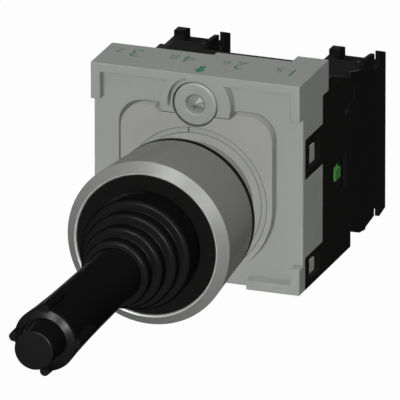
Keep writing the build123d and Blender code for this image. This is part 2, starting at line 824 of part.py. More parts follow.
# Transfer slides: green cranked bars from the foot's toes to the modules' plungers
finger_y = toe_back_y + toe_gap
slide_outer_x = holder_half - carrier_side_wall - slide_side_gap
for side, hand in ((-1, "left"), (1, "right")):
    with BuildPart() as transfer_slide:
        with BuildSketch(Plane.XY.offset(-slide_half_height)):
            with BuildLine():
                Polyline(
                    (side * (toe_reach - finger_half_width), finger_y),
                    (side * (toe_reach + finger_half_width), finger_y),
                    (side * (toe_reach + finger_half_width), web_y[0]),
                    (side * slide_neck_x, web_y[0]),
                    (side * slide_neck_x, slide_step_y),
                    (side * slide_outer_x, slide_step_y),
                    (side * slide_outer_x, slide_back_y),
                    (side * slide_inner_x, slide_back_y),
                    (side * slide_inner_x, web_y[1]),
                    (side * (toe_reach - finger_half_width), web_y[1]),
                    close=True,
                )
            make_face()
        extrude(amount=2 * slide_half_height)
        pad_x = sorted((side * (slide_outer_x - slide_pad_setback), side * (holder_half - slide_pad_setback)))
        block(pad_x, slide_pad_y, (-slide_pad_half_height, slide_pad_half_height))
    save(transfer_slide, f"transfer_slide_{hand}")

# Contact modules: the same part twice, in the two outer slots
cheek_outline = (
    (carrier_back_y, -13.2),
    (38.8, -15.2),
    (41.9, -15.7),
    (42.2, -15.3),
    (46.6, -14.7),
    (49.6, -15.7),
    (module_back_y, -15.1),
    (module_back_y, 15.0),
    (49.5, 16.3),
    (45.9, 16.8),
    (42.2, 17.1),
    (40.2, 15.9),
    (38.6, 16.1),
    (34.1, 17.3),
    (carrier_back_y, 16.6),
)
for slot, hand in ((slot_centres[0], "left"), (slot_centres[-1], "right")):
    low_x = slot - module_width / 2
    high_x = slot + module_width / 2
    channel_x = (low_x + left_cheek, high_x - right_cheek)
    chamber_x = (channel_x[0] + chamber_wall, channel_x[1] - chamber_wall)

    # Housing: two cheeks with a channel between them and a wire well at each end
    with BuildPart() as housing:
        side_profile(cheek_outline, (low_x, high_x))
        above = holder_top_z
        block(channel_x, (carrier_back_y, well_y[0]), (channel_top_z, above), Mode.SUBTRACT)
        block(channel_x, (carrier_back_y, well_y[0]), (-above, channel_low_z), Mode.SUBTRACT)
        left_top = (
            (carrier_back_y, left_top_front[1]),
            left_top_front,
            left_top_back,
            (left_tab_y, left_top_back[1]),
            (left_tab_y, left_tab_top_z),
            (module_back_y, left_tab_top_z),
            (module_back_y, above),
            (carrier_back_y, above),
        )
        side_profile(left_top, (low_x, channel_x[0]), Mode.SUBTRACT)
        for end in (-1, 1):
            well_z = sorted((end * well_floor_z, end * above))
            block(channel_x, well_y, well_z, Mode.SUBTRACT)
            back_z = sorted((end * back_wall_z, end * above))
            block(channel_x, (well_y[1], module_back_y), back_z, Mode.SUBTRACT)
            strip_z = sorted((end * (strip_level_z - plug_play),
                              end * (strip_level_z + strip_thickness + plug_play)))
            strip_x = (slot - strip_half_width - plug_play, slot + strip_half_width + plug_play)
            block(strip_x, (chamber_y, well_y[0]), strip_z, Mode.SUBTRACT)
            drill(driver_hole_radius, (well_y[1], module_back_y), (slot, end * terminal_z))
            groove_z = sorted((end * groove_low_z, end * above))
            block((channel_x[1], high_x), cheek_slot_y, groove_z, Mode.SUBTRACT)
            with BuildSketch(Plane.XY.offset(end * groove_low_z)) as groove:
                with Locations((channel_x[0] + groove_radius - groove_sink, groove_y)):
                    Circle(groove_radius)
            extrude(groove.sketch, amount=end * above, mode=Mode.SUBTRACT)
        chamber_z = (-chamber_half_height, chamber_half_height)
        block(chamber_x, (carrier_back_y, chamber_y), chamber_z, Mode.SUBTRACT)
        with BuildSketch(Plane.YZ.offset(high_x - recess_depth)) as recess:
            with Locations((recess_y, recess_z)):
                SlotOverall(recess_length + 2 * recess_radius, 2 * recess_radius, rotation=90)
        extrude(recess.sketch, amount=recess_depth, mode=Mode.SUBTRACT)
    save(housing, f"module_{hand}_housing")

    # Nose: closes the chamber, guides the plunger and snaps into the carrier's pocket
    with BuildPart() as nose:
        nose_x = (slot - pocket_half_width + nose_play, slot + pocket_half_width - nose_play)
        block(nose_x, (nose_front_y, carrier_back_y), (-nose_half_height, nose_half_height))
        plug_x = (chamber_x[0] + plug_play, chamber_x[1] - plug_play)
        plug_z = (-chamber_half_height + plug_play, chamber_half_height - plug_play)
        block(plug_x, (carrier_back_y, carrier_back_y + plug_depth), plug_z)
        for end in (-1, 1):
            hook = (
                (nose_front_y, end * nose_half_height),
                (hook_y + hook_tooth_length, end * nose_half_height),
                (hook_y + hook_tooth_length, end * (nose_half_height + hook_tooth)),
                (hook_y, end * nose_half_height),
                (hook_y, end * (nose_half_height - hook_thickness)),
                (nose_front_y, end * (nose_half_height - hook_thickness)),
            )
            side_profile(hook, (slot - hook_half_width, slot + hook_half_width))
        block(
            (slot - plunger_half_width - plunger_window_play, slot + plunger_half_width + plunger_window_play),
            (nose_front_y, carrier_back_y + plug_depth),
            (-plunger_half_height - plunger_window_play, plunger_half_height + plunger_window_play),
            Mode.SUBTRACT,
        )
    save(nose, f"module_{hand}_nose")

    # Plunger: green, pushed by the transfer slide
    with BuildPart() as plunger:
        block(
            (slot - plunger_half_width, slot + plunger_half_width),
            (slide_back_y + plunger_gap, plunger_back_y),
            (-plunger_half_height, plunger_half_height),
        )
        drill(post_radius, (plunger_back_y, post_end_y), (slot, 0), Mode.ADD)
    save(plunger, f"module_{hand}_plunger")

    # Contact bridge: a springy strip across the plunger with a silver button at each end
    with BuildPart() as bridge:
        bridge_back_y = bridge_y + bridge_thickness
        block(
            (slot - bridge_half_width, slot + bridge_half_width),
            (bridge_y, bridge_back_y),
            (-bridge_half_length, bridge_half_length),
        )
        drill(post_radius + plunger_window_play, (bridge_y, bridge_back_y), (slot, 0))
        for end in (-1, 1):
            button_at = (slot, end * button_z)
            drill(button_radius, (bridge_back_y, bridge_back_y + button_height), button_at, Mode.ADD)
    save(bridge, f"module_{hand}_bridge")

    # Plunger spring: returns the plunger and the slide
    with BuildPart() as plunger_spring:
        spring_front_y = bridge_back_y + plunger_wire + plunger_gap
        spring_height = chamber_y - plunger_wire - plunger_gap - spring_front_y
        with BuildLine() as plunger_coil:
            Helix(
                pitch=spring_height / plunger_turns,
                height=spring_height,
                radius=plunger_coil_radius,
                center=(slot, spring_front_y, 0),
                direction=(0, 1, 0),
            )
        with BuildSketch(Plane(origin=plunger_coil.line @ 0, z_dir=plunger_coil.line % 0)):
            Circle(plunger_wire)
        sweep(path=plunger_coil.line, is_frenet=True)
    save(plunger_spring, f"module_{hand}_spring")

    # Fixed contacts: two brass strips from the wire wells to the contact buttons
    with BuildPart() as contacts:
        for end in (-1, 1):
            strip = (
                (strip_tip_y, end * strip_inner_z),
                (strip_tip_y + strip_thickness, end * strip_inner_z),
                (strip_tip_y + strip_thickness, end * strip_level_z),
                (strip_back_y, end * strip_level_z),
                (strip_back_y, end * strip_top_z),
                (strip_back_y - strip_thickness, end * strip_top_z),
                (strip_back_y - strip_thickness, end * (strip_level_z + strip_thickness)),
                (strip_tip_y, end * (strip_level_z + strip_thickness)),
            )
            side_profile(strip, (slot - strip_half_width, slot + strip_half_width))
            button_y = (strip_tip_y - button_height, strip_tip_y)
            drill(button_radius, button_y, (slot, end * button_z), Mode.ADD)
            thread_y = (strip_back_y - strip_thickness, strip_back_y)
            drill(terminal_shank_radius + plug_play, thread_y, (slot, end * terminal_z))
    save(contacts, f"module_{hand}_fixed_contacts")

    # Terminal clamps: saddle washers that press the wire on the strip
    with BuildPart() as clamps:
        clamp_y = (well_head_y - clamp_thickness, well_head_y)
        for end in (-1, 1):
            clamp_z = (end * terminal_z - clamp_half_height, end * terminal_z + clamp_half_height)
            block((slot - clamp_half_width, slot + clamp_half_width), clamp_y, clamp_z)
            for edge in (-1, 1):
                lip_x = sorted((slot + edge * clamp_half_width,
                                slot + edge * (clamp_half_width - clamp_lip)))
                block(lip_x, (clamp_y[0] - clamp_lip, clamp_y[0]), clamp_z)
            drill(terminal_shank_radius + plug_play, clamp_y, (slot, end * terminal_z))
    save(clamps, f"module_{hand}_terminal_clamps")

    # Terminal screws: slotted heads that face the back
    with BuildPart() as screws:
        for end in (-1, 1):
            at = (slot, end * terminal_z)
            drill(terminal_shank_radius, (terminal_shank_front_y, well_head_y), at, Mode.ADD)
            head_y = (well_head_y, well_head_y + terminal_head_depth)
            drill(terminal_head_radius, head_y, at, Mode.ADD)
            block(
                (slot - terminal_head_radius, slot + terminal_head_radius),
                (head_y[1] - drive_slot_depth, head_y[1]),
                (at[1] - drive_slot_width / 2, at[1] + drive_slot_width / 2),
                Mode.SUBTRACT,
            )
    save(screws, f"module_{hand}_terminal_screws")

print("toe travel each way", round(toe_travel, 4), "mm, sleeve travel", sleeve_travel, "mm")
print("slide ratio", toe_reach / 1000, "m per radian, turn for a 0.7 mm pitch", round(0.7 / (2 * pi), 6))
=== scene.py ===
import bpy
from math import cos, pi, radians, sin
from mathutils import Matrix, Vector


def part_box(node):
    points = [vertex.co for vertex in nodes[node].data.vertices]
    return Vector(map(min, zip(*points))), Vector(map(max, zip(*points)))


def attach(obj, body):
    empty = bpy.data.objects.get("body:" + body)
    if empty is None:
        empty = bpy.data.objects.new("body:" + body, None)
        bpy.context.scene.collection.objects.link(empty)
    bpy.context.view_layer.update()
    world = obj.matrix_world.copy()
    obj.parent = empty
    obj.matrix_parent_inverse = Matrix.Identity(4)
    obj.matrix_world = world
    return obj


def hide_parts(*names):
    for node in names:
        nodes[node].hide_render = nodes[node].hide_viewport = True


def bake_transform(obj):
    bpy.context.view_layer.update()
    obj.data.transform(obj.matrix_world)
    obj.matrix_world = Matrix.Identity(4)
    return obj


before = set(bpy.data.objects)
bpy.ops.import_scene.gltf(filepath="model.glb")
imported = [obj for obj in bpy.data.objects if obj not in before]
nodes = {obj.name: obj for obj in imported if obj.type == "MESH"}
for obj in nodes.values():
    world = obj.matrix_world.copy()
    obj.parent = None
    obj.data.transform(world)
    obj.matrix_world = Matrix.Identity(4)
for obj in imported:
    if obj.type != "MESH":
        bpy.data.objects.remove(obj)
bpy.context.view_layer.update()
MM = 0.001


# Camera: a long lens from the front, a little above and to the right of the panel,
# so that parallel edges stay parallel.
view_from = Vector((0.3214, -0.8830, 0.3420))
view_target = Vector((2.595, 1.605, 1.706)) * MM
lens_mm = 1690.0
frame_width = 71.94 * MM
camera_data = bpy.data.cameras.new("camera")
camera_data.lens = lens_mm
camera_data.sensor_width = 36.0
camera_data.clip_end = 20.0
camera = bpy.data.objects.new("camera", camera_data)
bpy.context.scene.collection.objects.link(camera)
camera.location = view_target + view_from * (frame_width * lens_mm / camera_data.sensor_width)
camera.rotation_mode = "QUATERNION"
camera.rotation_quaternion = (-view_from).to_track_quat("-Z", "Y")
bpy.context.scene.camera = camera
bpy.context.scene.view_settings.view_transform = "Standard"


# Studio: an upper and a right-hand lamp for the faces, two that are seen in gloss alone, a wide
# soft one for the object's shadow, and one for the back. The surround is white for the camera
# and for reflections, and dim for the surfaces.
surround_dim = 0.03
surround_white = 1.0
world = bpy.data.worlds.new("studio")
bpy.context.scene.world = world
world.use_nodes = True
world_nodes = world.node_tree.nodes
world_links = world.node_tree.links
surround = world_nodes["Background"]
surround.inputs["Color"].default_value = (1.0, 1.0, 1.0, 1.0)
path = world_nodes.new("ShaderNodeLightPath")
seen_or_mirrored = world_nodes.new("ShaderNodeMath")
seen_or_mirrored.operation = "MAXIMUM"
seen_at_all = world_nodes.new("ShaderNodeMath")
seen_at_all.operation = "MAXIMUM"
surround_strength = world_nodes.new("ShaderNodeMapRange")
surround_strength.inputs["To Min"].default_value = surround_dim
surround_strength.inputs["To Max"].default_value = surround_white
world_links.new(path.outputs["Is Camera Ray"], seen_or_mirrored.inputs[0])
world_links.new(path.outputs["Is Glossy Ray"], seen_or_mirrored.inputs[1])
world_links.new(seen_or_mirrored.outputs[0], seen_at_all.inputs[0])
world_links.new(path.outputs["Is Transmission Ray"], seen_at_all.inputs[1])
world_links.new(seen_at_all.outputs[0], surround_strength.inputs["Value"])
world_links.new(surround_strength.outputs["Result"], surround.inputs["Strength"])


def studio_lamp(name, direction, share, size, shadow, glint=False):
    """Hangs a round lamp two metres off; a share of 1 shows a colour as written. A glint lamp
    is seen in gloss alone."""
    distance = 2.0
    lamp_data = bpy.data.lights.new(name, "AREA")
    lamp_data.shape = "DISK"
    lamp_data.size = size
    lamp_data.energy = share * (pi * distance) ** 2
    lamp_data.use_shadow = shadow
    lamp = bpy.data.objects.new(name, lamp_data)
    lamp.visible_diffuse = not glint
    bpy.context.scene.collection.objects.link(lamp)
    towards = Vector(direction).normalized()
    lamp.location = towards * distance
    lamp.rotation_mode = "QUATERNION"
    lamp.rotation_quaternion = towards.to_track_quat("Z", "Y")


from_above = (0.05, -0.66, 0.75)
from_right = (0.42, -0.84, 0.345)
from_far_right = (0.52, -0.78, 0.345)
from_behind = (-0.45, 0.89, 0.05)
studio_lamp("upper_lamp", from_above, share=0.60, size=0.4, shadow=False)
studio_lamp("right_lamp", from_right, share=0.46, size=0.28, shadow=False)
studio_lamp("shadow_softbox", from_above, share=0.12, size=2.0, shadow=True)
studio_lamp("upper_glint", from_above, share=1.5, size=0.5, shadow=False, glint=True)
studio_lamp("right_glint", from_far_right, share=2.3, size=0.5, shadow=False, glint=True)
studio_lamp("back_lamp", from_behind, share=0.60, size=0.8, shadow=False)


# Floor: a pale studio floor, far enough below for the shadow to fall clear of the view. The
# camera and reflections see it near white, and it throws its own grey on the surfaces.
floor_size = 12.0
floor_height = -0.25
floor_grey = 0.42
floor_white = 0.97
bpy.ops.object.select_all(action="DESELECT")
bpy.ops.mesh.primitive_plane_add(size=floor_size, location=(0, 0, floor_height))
floor = bpy.context.object
floor.name = "studio_floor"
floor_finish = bpy.data.materials.new("pale_floor")
floor_finish.use_nodes = True
floor_nodes = floor_finish.node_tree.nodes
floor_links = floor_finish.node_tree.links
floor_shader = floor_nodes["Principled BSDF"]
floor_shader.inputs["Base Color"].default_value = (floor_grey, floor_grey, floor_grey, 1)
floor_shader.inputs["Roughness"].default_value = 0.9
floor_glow = floor_nodes.new("ShaderNodeEmission")
floor_glow.inputs["Strength"].default_value = 1.0
floor_path = floor_nodes.new("ShaderNodeLightPath")
floor_seen = floor_nodes.new("ShaderNodeMath")
floor_seen.operation = "MAXIMUM"
floor_share = floor_nodes.new("ShaderNodeMath")
floor_share.operation = "MULTIPLY"
floor_share.inputs[1].default_value = floor_white
floor_mix = floor_nodes.new("ShaderNodeMixShader")
floor_links.new(floor_path.outputs["Is Camera Ray"], floor_seen.inputs[0])
floor_links.new(floor_path.outputs["Is Glossy Ray"], floor_seen.inputs[1])
floor_links.new(floor_seen.outputs[0], floor_share.inputs[0])
floor_links.new(floor_share.outputs[0], floor_mix.inputs[0])
floor_links.new(floor_shader.outputs[0], floor_mix.inputs[1])
floor_links.new(floor_glow.outputs[0], floor_mix.inputs[2])
floor_links.new(floor_mix.outputs[0], floor_nodes["Material Output"].inputs["Surface"])
floor.data.materials.append(floor_finish)


# Panel seal: a flat ring of black rubber, moulded, that lies between the metal ring
# and the panel's front face.
MERGE_DISTANCE = 0.001 * MM
SMOOTH_BELOW = radians(30)


def turned(name, corners, steps=128, bevel=0.0):
    """Turns a ring on the lever's axis. The corners are (radius, y) in millimetres, in order
    round its wall."""
    bpy.ops.object.select_all(action="DESELECT")
    radius, y = corners[0]
    bpy.ops.mesh.primitive_circle_add(
        vertices=steps, radius=radius * MM, fill_type="NOTHING",
        location=(0, y * MM, 0), rotation=(pi / 2, 0, 0),
    )
    piece = bpy.context.object
    piece.name = name
    bpy.ops.object.transform_apply(location=True, rotation=True, scale=True)
    bpy.ops.object.mode_set(mode="EDIT")
    bpy.ops.mesh.select_all(action="SELECT")
    for next_radius, next_y in list(corners[1:]) + [corners[0]]:
        bpy.ops.mesh.extrude_region_move(
            TRANSFORM_OT_translate={"value": (0, (next_y - y) * MM, 0)}
        )
        bpy.ops.transform.resize(
            value=(next_radius / radius, 1, next_radius / radius),
            center_override=(0, next_y * MM, 0),
        )
        radius, y = next_radius, next_y
    bpy.ops.mesh.select_all(action="SELECT")
    bpy.ops.mesh.remove_doubles(threshold=MERGE_DISTANCE)
    bpy.ops.mesh.delete_loose()
    bpy.ops.mesh.select_all(action="SELECT")
    bpy.ops.mesh.normals_make_consistent(inside=False)
    bpy.ops.object.mode_set(mode="OBJECT")
    finish_edges(piece, bevel)
    return piece


def finish_edges(piece, bevel, segments=3, angle=30, clamp=True):
    """Rounds edges sharper than the angle with an applied bevel, and shades the rest smooth."""
    bpy.ops.object.select_all(action="DESELECT")
    piece.select_set(True)
    bpy.context.view_layer.objects.active = piece
    if bevel:
        rounding = piece.modifiers.new("edge_rounding", "BEVEL")
        rounding.width = bevel * MM
        rounding.segments = segments
        rounding.limit_method = "ANGLE"
        rounding.angle_limit = radians(angle)
        rounding.use_clamp_overlap = clamp
        bpy.ops.object.modifier_apply(modifier="edge_rounding")
    bpy.ops.object.shade_smooth_by_angle(angle=SMOOTH_BELOW)
    flat_faces = piece.modifiers.new("flat_faces", "WEIGHTED_NORMAL")
    flat_faces.keep_sharp = True
    bpy.ops.object.modifier_apply(modifier="flat_faces")


def moulded_skin_group():
    """Skin of a moulded or machined surface: slow colour drift, a fine grain, softened edges
    that are a little paler, and painted shade darkening its creases."""
    tree = bpy.data.node_groups.new("moulded_skin", "ShaderNodeTree")
    for label, kind, value in (
        ("Color", "NodeSocketColor", (0.5, 0.5, 0.5, 1)),
        ("Drift", "NodeSocketFloat", 0.1),
        ("Grain Scale", "NodeSocketFloat", 4000.0),
        ("Edge Radius", "NodeSocketFloat", 0.00015),
        ("Edge Wear", "NodeSocketFloat", 0.2),
        ("Crease Shade", "NodeSocketFloat", 0.0),
        ("Roughness", "NodeSocketFloat", 0.5),
    ):
        socket = tree.interface.new_socket(name=label, in_out="INPUT", socket_type=kind)
        socket.default_value = value
    for label, kind in (
        ("Color", "NodeSocketColor"),
        ("Roughness", "NodeSocketFloat"),
        ("Height", "NodeSocketFloat"),
        ("Normal", "NodeSocketVector"),
    ):
        tree.interface.new_socket(name=label, in_out="OUTPUT", socket_type=kind)
    given = tree.nodes.new("NodeGroupInput")
    result = tree.nodes.new("NodeGroupOutput")
    place = tree.nodes.new("ShaderNodeTexCoord")
    link = tree.links.new

    cloud = tree.nodes.new("ShaderNodeTexNoise")
    cloud.inputs["Scale"].default_value = 90.0
    cloud.inputs["Detail"].default_value = 4.0
    link(place.outputs["Object"], cloud.inputs["Vector"])
    grain = tree.nodes.new("ShaderNodeTexNoise")
    grain.inputs["Detail"].default_value = 2.0
    link(place.outputs["Object"], grain.inputs["Vector"])
    link(given.outputs["Grain Scale"], grain.inputs["Scale"])

    rounded = tree.nodes.new("ShaderNodeBevel")
    rounded.samples = 6
    link(given.outputs["Edge Radius"], rounded.inputs["Radius"])
    facing = tree.nodes.new("ShaderNodeNewGeometry")
    bend = tree.nodes.new("ShaderNodeVectorMath")
    bend.operation = "DOT_PRODUCT"
    link(rounded.outputs["Normal"], bend.inputs[0])
    link(facing.outputs["True Normal"], bend.inputs[1])
    edge = tree.nodes.new("ShaderNodeMapRange")
    edge.inputs["From Min"].default_value = 0.995
    edge.inputs["From Max"].default_value = 0.80
    link(bend.outputs["Value"], edge.inputs["Value"])
    worn = tree.nodes.new("ShaderNodeMath")
    worn.operation = "MULTIPLY"
    link(edge.outputs["Result"], worn.inputs[0])
    link(given.outputs["Edge Wear"], worn.inputs[1])

    shade = tree.nodes.new("ShaderNodeMapRange")
    shade.inputs["From Min"].default_value = 0.3
    shade.inputs["From Max"].default_value = 0.7
    shade.inputs["To Min"].default_value = -0.5
    shade.inputs["To Max"].default_value = 0.5
    link(cloud.outputs["Fac"], shade.inputs["Value"])
    amount = tree.nodes.new("ShaderNodeMath")
    amount.operation = "MULTIPLY_ADD"
    amount.inputs[2].default_value = 1.0
    link(shade.outputs["Result"], amount.inputs[0])
    link(given.outputs["Drift"], amount.inputs[1])
    lift = tree.nodes.new("ShaderNodeMath")
    lift.operation = "ADD"
    link(amount.outputs[0], lift.inputs[0])
    link(worn.outputs[0], lift.inputs[1])
    tint = tree.nodes.new("ShaderNodeVectorMath")
    tint.operation = "SCALE"
    # Painted shade: the colour darkens where occlusion finds nearby surfaces within a short
    # distance, in creases and gaps.
    crease = tree.nodes.new("ShaderNodeAmbientOcclusion")
    crease.samples = 8
    crease.only_local = False
    crease.inputs["Distance"].default_value = 0.35 * MM
    crease_shade = tree.nodes.new("ShaderNodeMath")
    crease_shade.operation = "POWER"
    link(crease.outputs["AO"], crease_shade.inputs[0])
    link(given.outputs["Crease Shade"], crease_shade.inputs[1])
    crease_shaded = tree.nodes.new("ShaderNodeMath")
    crease_shaded.operation = "MULTIPLY"
    link(lift.outputs[0], crease_shaded.inputs[0])
    link(crease_shade.outputs[0], crease_shaded.inputs[1])
    link(given.outputs["Color"], tint.inputs[0])
    link(crease_shaded.outputs[0], tint.inputs["Scale"])
    link(tint.outputs["Vector"], result.inputs["Color"])

    gloss = tree.nodes.new("ShaderNodeMath")
    gloss.operation = "MULTIPLY_ADD"
    gloss.inputs[1].default_value = 0.10
    link(shade.outputs["Result"], gloss.inputs[0])
    link(given.outputs["Roughness"], gloss.inputs[2])
    link(gloss.outputs[0], result.inputs["Roughness"])
    link(grain.outputs["Fac"], result.inputs["Height"])
    link(rounded.outputs["Normal"], result.inputs["Normal"])
    return tree


moulded_skin = moulded_skin_group()


def skin(name, color, roughness, grain_scale=4000, relief=0.02, drift=0.1, edge=0.15, wear=0.2,
         specular=0.5, metallic=0.0, rim_shine=1.0, crease_shade=0.0):
    """A finish on the moulded skin: the shader's own sockets hold what is the same all over. A
    crease shade above 0 paints shade into its creases.
    """
    material = bpy.data.materials.new(name)
    material.use_nodes = True
    tree = material.node_tree
    shader = tree.nodes["Principled BSDF"]
    shader.inputs["Metallic"].default_value = metallic
    shader.inputs["Specular IOR Level"].default_value = specular
    shader.inputs["Specular Tint"].default_value = (rim_shine, rim_shine, rim_shine, 1)
    surface = tree.nodes.new("ShaderNodeGroup")
    surface.node_tree = moulded_skin
    surface.inputs["Color"].default_value = (*color, 1)
    surface.inputs["Drift"].default_value = drift
    surface.inputs["Grain Scale"].default_value = grain_scale
    surface.inputs["Edge Radius"].default_value = edge * MM
    surface.inputs["Edge Wear"].default_value = wear
    surface.inputs["Crease Shade"].default_value = crease_shade
    surface.inputs["Roughness"].default_value = roughness
    bump = tree.nodes.new("ShaderNodeBump")
    bump.inputs["Strength"].default_value = 0.5
    bump.inputs["Distance"].default_value = relief * MM
    tree.links.new(surface.outputs["Height"], bump.inputs["Height"])
    tree.links.new(surface.outputs["Normal"], bump.inputs["Normal"])
    tree.links.new(surface.outputs["Color"], shader.inputs["Base Color"])
    tree.links.new(surface.outputs["Roughness"], shader.inputs["Roughness"])
    tree.links.new(bump.outputs["Normal"], shader.inputs["Normal"])
    return material


def dress(piece, material):
    """Gives a piece or a CAD node one material all over."""
    piece.data.materials.clear()
    piece.data.materials.append(material)


gasket_rubber = skin("gasket_rubber", (0.0035, 0.0035, 0.0035), 0.60, 2500, 0.02, specular=0.02)
seal = turned(
    "seal_ring",
    ((11.25, -2.0), (14.1, -2.0), (14.1, -1.1), (12.8, 0.0), (11.25, 0.0)),
    bevel=0.18,
)
dress(seal, gasket_rubber)
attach(seal, "root")
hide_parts("panel_seal")


# Front ring: turned from bar, with a tapered skirt, a wide bevel at the front and a thin
# rolled lip, in a satin metal finish with fine tool lines round it. Its lip is painted paler.
def turned_metal(name, color, roughness, line_scale, line_depth, metallic=1.0, specular=0.5,
                 rim_shine=1.0):
    """Metal with fine lines round the lever's axis, left by the tool."""
    material = skin(name, color, roughness, 3000, 0.005, drift=0.08, edge=0.12, wear=0.25,
                    metallic=metallic, specular=specular, rim_shine=rim_shine)
    tree = material.node_tree
    place = tree.nodes.new("ShaderNodeTexCoord")
    lines = tree.nodes.new("ShaderNodeTexWave")
    lines.wave_type = "BANDS"
    lines.bands_direction = "Y"
    lines.inputs["Scale"].default_value = line_scale
    lines.inputs["Distortion"].default_value = 0.6
    lines.inputs["Detail"].default_value = 3.0
    tree.links.new(place.outputs["Object"], lines.inputs["Vector"])
    score = tree.nodes.new("ShaderNodeBump")
    score.inputs["Strength"].default_value = 0.35
    score.inputs["Distance"].default_value = line_depth * MM
    tree.links.new(lines.outputs["Fac"], score.inputs["Height"])
    bump = next(node for node in tree.nodes if node.type == "BUMP" and node is not score)
    tree.links.new(bump.outputs["Normal"], score.inputs["Normal"])
    tree.links.new(score.outputs["Normal"], tree.nodes["Principled BSDF"].inputs["Normal"])
    return material


ring_metal = turned_metal("satin_ring_metal", (0.208, 0.212, 0.205), 0.42, 900, 0.003,
                          metallic=0.08, specular=0.0, rim_shine=0.1)
ring = turned(
    "bezel_ring",
    (
        (13.3, -2.0), (13.9, -2.0), (14.15, -2.75), (15.45, -18.2), (13.68, -19.66),
        (13.6, -19.8), (13.3, -19.6),
    ),
    steps=160,
    bevel=0.04,
)
dress(ring, ring_metal)
# Painted highlight: the lip's faces at the inside front take a paler copy of the ring metal, which
# shows as a bright line.
lip_back = -19.55
lip_radius = 13.62
lip_highlight_metal = turned_metal("lip_painted_highlight", (0.42, 0.43, 0.41), 0.40, 900, 0.001,
                         metallic=0.15, specular=0.0, rim_shine=0.3)
ring.data.materials.append(lip_highlight_metal)
for face in ring.data.polygons:
    radius = Vector((face.center.x, face.center.z)).length
    if face.center.y < lip_back * MM and radius < lip_radius * MM:
        face.material_index = 1
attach(ring, "root")
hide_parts("front_ring")


# Actuator barrel: the turned body that passes through the panel hole and carries the pivot pin,
# satin grey where its tube shows behind the seal.
barrel_grey = turned_metal("barrel_grey", (0.235, 0.235, 0.23), 0.50, 900, 0.003,
                           metallic=0.05, specular=0.0, rim_shine=0.2)
dress(nodes["actuator_barrel"], barrel_grey)


# Bellows clamp ring: a flat ring, moulded in matt black plastic. It is pressed into the cup
# over the bellows' bead, and holds it there.
clamp_ring = turned(
    "bellows_retainer",
    ((10.2, -18.0), (13.2, -18.0), (13.2, -19.4), (10.2, -19.4)),
    bevel=0.12,
)
clamp_black = skin("retainer_black", (0.0075, 0.0075, 0.0072), 0.5, 5200, 0.01, specular=0.005)
dress(clamp_ring, clamp_black)
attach(clamp_ring, "root")
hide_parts("bellows_clamp_ring")


# Bellows: a stepped cone of soft black rubber, moulded in one piece. Each step has a rounded
# ridge at its front edge and a groove at its foot, and the neck grips the sleeve.
ridge_radius = 10.4
ridge_drop = 1.333
ridge_round = 0.8
ridge_front = -25.7
ridge_pitch = 3.5
bellows_wall = 0.75
ridge_count = 4
neck_radius = 4.98
neck_slack = 0.03
fold_depth = 0.3
groove = ((-0.05, -0.02), (-0.38, -0.12), (-0.42, -0.45), (-0.30, -0.75), (-0.04, -0.95))
outside = [
    (12.7, -16.55), (12.7, -17.95), (9.9, -17.98), (9.9, -19.5), (10.2, -19.8), (10.35, -20.5),
    (10.4, -22.0), (10.4, -23.5),
]
inside = [(9.1, -16.55)]
for step in range(ridge_count):
    step_radius = ridge_radius - step * ridge_drop
    step_front = ridge_front - step * ridge_pitch
    for turn in (0, 30, 60, 90):
        lean = radians(turn)
        outside.append((
            step_radius - ridge_round * (1 - cos(lean)),
            step_front + ridge_round * (1 - sin(lean)),
        ))
    inside.append((step_radius - bellows_wall, step_front + bellows_wall))
    if step < ridge_count - 1:
        foot = step_radius - ridge_drop
        for inwards, forwards in groove:
            outside.append((foot + inwards, step_front + forwards))
        inside.append((foot - bellows_wall - fold_depth, step_front + bellows_wall))
outside.append((5.15, -36.25))
outside.append((neck_radius, -36.1))
inside = [corner for corner in inside if corner[0] > neck_radius - neck_slack]
inside.append((neck_radius, -34.8))
bellows_rubber = skin("bellows_rubber", (0.0100, 0.0102, 0.0100), 0.30, 2200, 0.002, drift=0.2,
                      specular=0.0, metallic=0.55, rim_shine=0.0, wear=0.1)
boot = turned("boot", tuple(outside) + tuple(reversed(inside)), steps=144)
dress(boot, bellows_rubber)
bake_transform(boot)
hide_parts("bellows")


# Locking sleeve: the grip tube, moulded, flared to the front, with four half-round ribs for
# the fingers. It slides along the rod against its spring.
grip_black = skin("grip_black", (0.0110, 0.0112, 0.0110), 0.33, 4200, 0.004, specular=0.0,
                  metallic=0.45, rim_shine=0.0)
grip = turned(
    "grip_sleeve",
    (
        (3.08, -18.5), (4.9, -18.5), (4.9, -42.0), (5.2, -58.0), (5.5, -66.0), (5.76, -70.3),
        (5.8, -71.1), (5.7, -71.45), (4.6, -72.15), (4.45, -72.3), (4.45, -71.1), (3.74, -71.1),
        (3.74, -46.0), (3.08, -46.0),
    ),
    steps=128,
    bevel=0.12,
)
rib_radius = 0.95
rib_offset = 5.8
rib_front = -71.6
rib_back = -63.6
rib_end_steepness = 4
rib_slack = 0.01
rib_count = 4
bpy.ops.object.select_all(action="DESELECT")
bpy.ops.mesh.primitive_uv_sphere_add(
    segments=32, ring_count=16, radius=rib_radius * MM,
    location=(rib_offset * MM, rib_back * MM, 0), rotation=(pi / 2, 0, 0),
)
rib = bpy.context.object
bpy.ops.object.transform_apply(location=True, rotation=True, scale=True)
for corner in rib.data.vertices:
    if corner.co.y < (rib_back - rib_slack) * MM:
        drawn = (rib_back * MM - corner.co.y) / (rib_radius * MM)
        share = min(drawn * rib_end_steepness, 1)
        corner.co.y = rib_back * MM - share * (rib_back - rib_front) * MM
ribs = [rib]
for number in range(1, rib_count):
    next_rib = rib.copy()
    next_rib.data = rib.data.copy()
    next_rib.data.transform(Matrix.Rotation(number * 2 * pi / rib_count, 4, "Y"))
    bpy.context.scene.collection.objects.link(next_rib)
    ribs.append(next_rib)
bpy.ops.object.select_all(action="DESELECT")
for rib in ribs:
    rib.select_set(True)
grip.select_set(True)
bpy.context.view_layer.objects.active = grip
